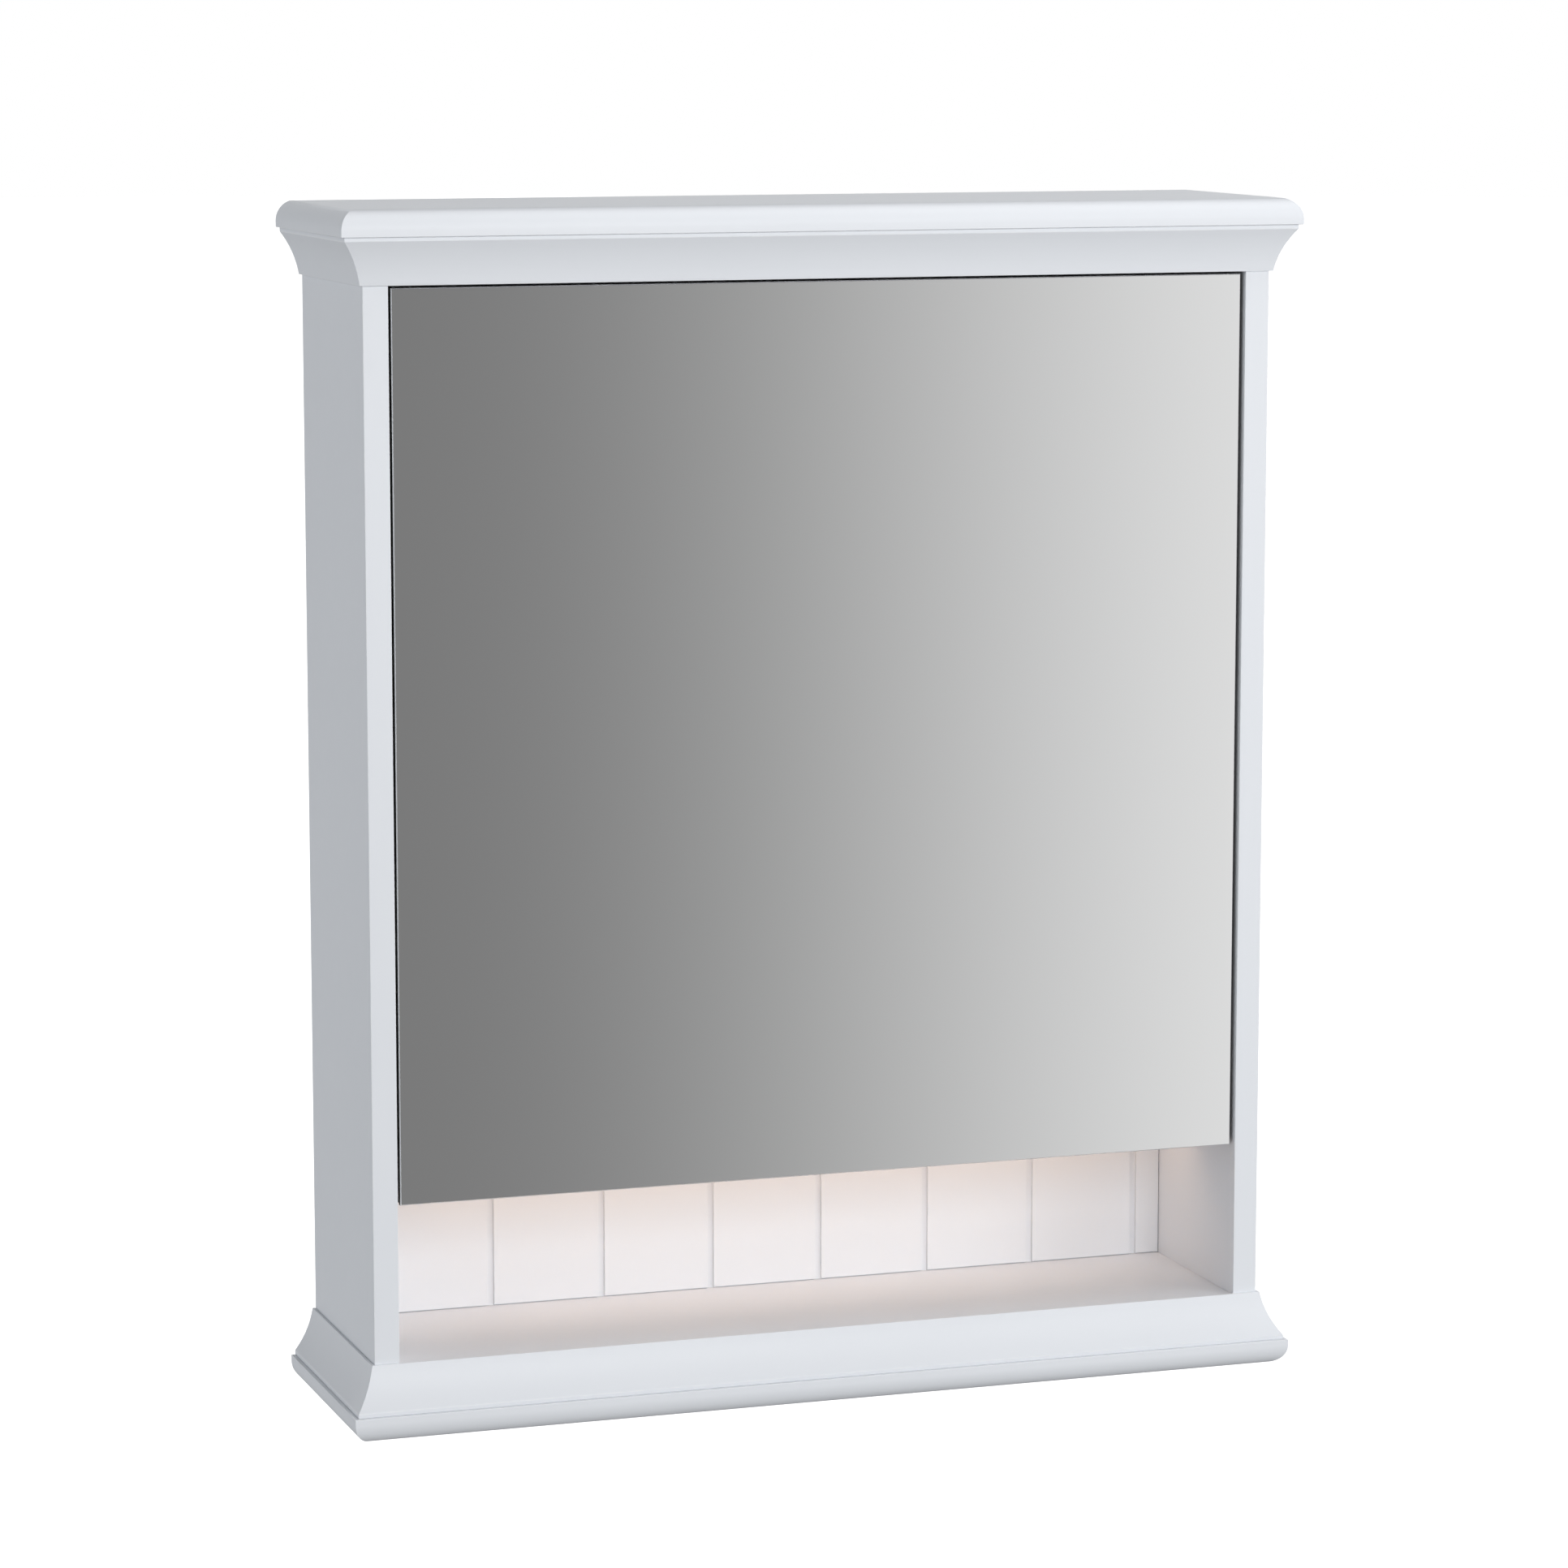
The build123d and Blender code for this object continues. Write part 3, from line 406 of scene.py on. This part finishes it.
MATERIALS = {
    "painted_board": painted_board(),
    # The door's edge band: a dark brown made near-black, partly its own colour and partly painted shade,
    # so that the gaps round the door read dark.
    "dark_edging": plain_moulded("dark_edging", (0.022, 0.018, 0.015), (0.036, 0.029, 0.024), 0.45),
    "raw_board": raw_board(),
    "mirror_glass": mirror_glass(),
    "clear_glass": clear_glass(),
    "dowel_wood": dowel_wood(),
    "zinc_steel": plated("zinc_steel", (0.50, 0.52, 0.55), (0.70, 0.71, 0.73), (0.28, 0.46), 120.0),
    "cast_zinc": plated("cast_zinc", (0.42, 0.43, 0.44), (0.60, 0.61, 0.62), (0.42, 0.60), 400.0),
    "nickel_steel": plated("nickel_steel", (0.62, 0.60, 0.57), (0.74, 0.72, 0.69), (0.16, 0.28), 300.0),
    "anodised": plated(
        "anodised", (0.66, 0.67, 0.69), (0.76, 0.77, 0.79), (0.32, 0.44), 8.0, draw=(1.0, 120.0, 120.0)
    ),
    "opal_plastic": opal_plastic(),
    "white_plastic": plain_moulded("white_plastic", (0.74, 0.74, 0.74), (0.82, 0.82, 0.82), 0.42),
    "circuit_board": plain_moulded("circuit_board", (0.74, 0.75, 0.70), (0.82, 0.83, 0.79), 0.35),
    "clear_bumper": clear_bumper(),
}

SLOT_OF = {part["node"]: part["material_slot"] for part in frame["record"]["subparts"]}
for node, thing in CAD.items():
    thing.data.materials.append(MATERIALS[SLOT_OF[node]])


# ------------------------------------------------- boards with softened edges
EDGE_ANGLE = math.radians(25.0)  # an edge that turns more is rounded off
CREASE_ANGLE = math.radians(40.0)  # an edge that turns more is shaded as a crease
SAME_PLANE = math.radians(0.3)
SAME_POINT = 1e-6
BOARD_ROUND = 0.0004
REBATED_ROUND = 0.0002  # for the back panel, whose rebate is only 0.6 mm wide
ROUND_STEPS = 3
BOARD_LONG = 0.012  # shorter edges, such as those of holes, stay sharp
SILVER_TURN = 0.5  # a face that looks to the front at least this much is silvered


def body_of(node):
    bodies = frame["record"]["behaviour"]["bodies"]
    return next(body for body, members in bodies.items() if node in members)


def whole_faces(node, mark):
    """A CAD node's mesh with its flat faces whole, and a number on each face."""
    mesh = CAD[node].data.copy()
    work = bmesh.new()
    work.from_mesh(mesh)
    marked = work.faces.layers.float.new(mark)
    bmesh.ops.remove_doubles(work, verts=work.verts, dist=SAME_POINT)
    bmesh.ops.dissolve_limit(work, angle_limit=SAME_PLANE, verts=work.verts, edges=work.edges)
    return mesh, work, marked


def stand_in(node, mesh, work):
    """The piece that shows in place of a CAD node, made from the worked mesh."""
    work.to_mesh(mesh)
    work.free()
    piece = bpy.data.objects.new(node + "_piece", mesh)
    bpy.context.scene.collection.objects.link(piece)
    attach(piece, body_of(node))
    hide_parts(node)
    return piece


def soften(node, width, shortest):
    """A copy of a CAD piece whose long sharp edges are rounded off and marked as worn."""
    mesh, work, rubbed = whole_faces(node, "edge")
    sharp = [
        edge
        for edge in work.edges
        if edge.is_manifold and edge.calc_length() > shortest and edge.calc_face_angle() > EDGE_ANGLE
    ]
    rounded = bmesh.ops.bevel(
        work,
        geom=sharp,
        offset=width,
        segments=ROUND_STEPS,
        profile=0.5,
        affect="EDGES",
        clamp_overlap=False,
    )
    for face in rounded["faces"]:
        face[rubbed] = 1.0
    for face in work.faces:
        face.smooth = True
    for edge in work.edges:
        edge.smooth = not (edge.is_manifold and edge.calc_face_angle() > CREASE_ANGLE)
    weighted = stand_in(node, mesh, work).modifiers.new("even_faces", "WEIGHTED_NORMAL")
    weighted.keep_sharp = True


def mirror_piece(node):
    """A copy of the glass that marks its sides and back as ground, not silvered."""
    mesh, work, ground = whole_faces(node, "ground")
    for face in work.faces:
        face.smooth = False
        face[ground] = float(-face.normal.y < SILVER_TURN)
    stand_in(node, mesh, work)


for node in sorted(CAD):
    if SLOT_OF[node] in ("painted_board", "raw_board"):
        soften(node, REBATED_ROUND if node == "back_panel" else BOARD_ROUND, BOARD_LONG)
mirror_piece("door_mirror")


# -------------------------------------------------------------------- floor
FLOOR_DROP = 0.30
FLOOR_RADIUS = 30.0
FLOOR_SIDES = 96
FLOOR_GLOW = 1.0


def floor_material():
    """A pale floor that glows white, so that it runs into the white behind it."""
    dull = (0.80, 0.80, 0.80, 1.0)
    pale = (0.83, 0.83, 0.83, 1.0)
    made, tree, shader, place = new_material("studio_floor")
    grain = tree.noise(place, scale=4.0, detail=4.0)
    tree.link(tree.mix(grain, dull, pale), shader.inputs["Base Color"])
    shader.inputs["Roughness"].default_value = 0.9
    shader.inputs["Specular IOR Level"].default_value = 0.0
    shader.inputs["Emission Color"].default_value = WHITE
    shader.inputs["Emission Strength"].default_value = FLOOR_GLOW
    return made


def make_floor():
    """A wide disc below the cabinet, kept out of its reflections, fill light and shadows."""
    work = bmesh.new()
    bmesh.ops.create_circle(work, cap_ends=True, segments=FLOOR_SIDES, radius=FLOOR_RADIUS)
    mesh = bpy.data.meshes.new("studio_floor")
    work.to_mesh(mesh)
    work.free()
    mesh.materials.append(floor_material())
    floor = bpy.data.objects.new("studio_floor", mesh)
    floor.location = (0.0, 0.0, cad_low.z - FLOOR_DROP)
    floor.visible_glossy = False
    floor.visible_diffuse = False
    floor.visible_shadow = False
    bpy.context.scene.collection.objects.link(floor)


make_floor()
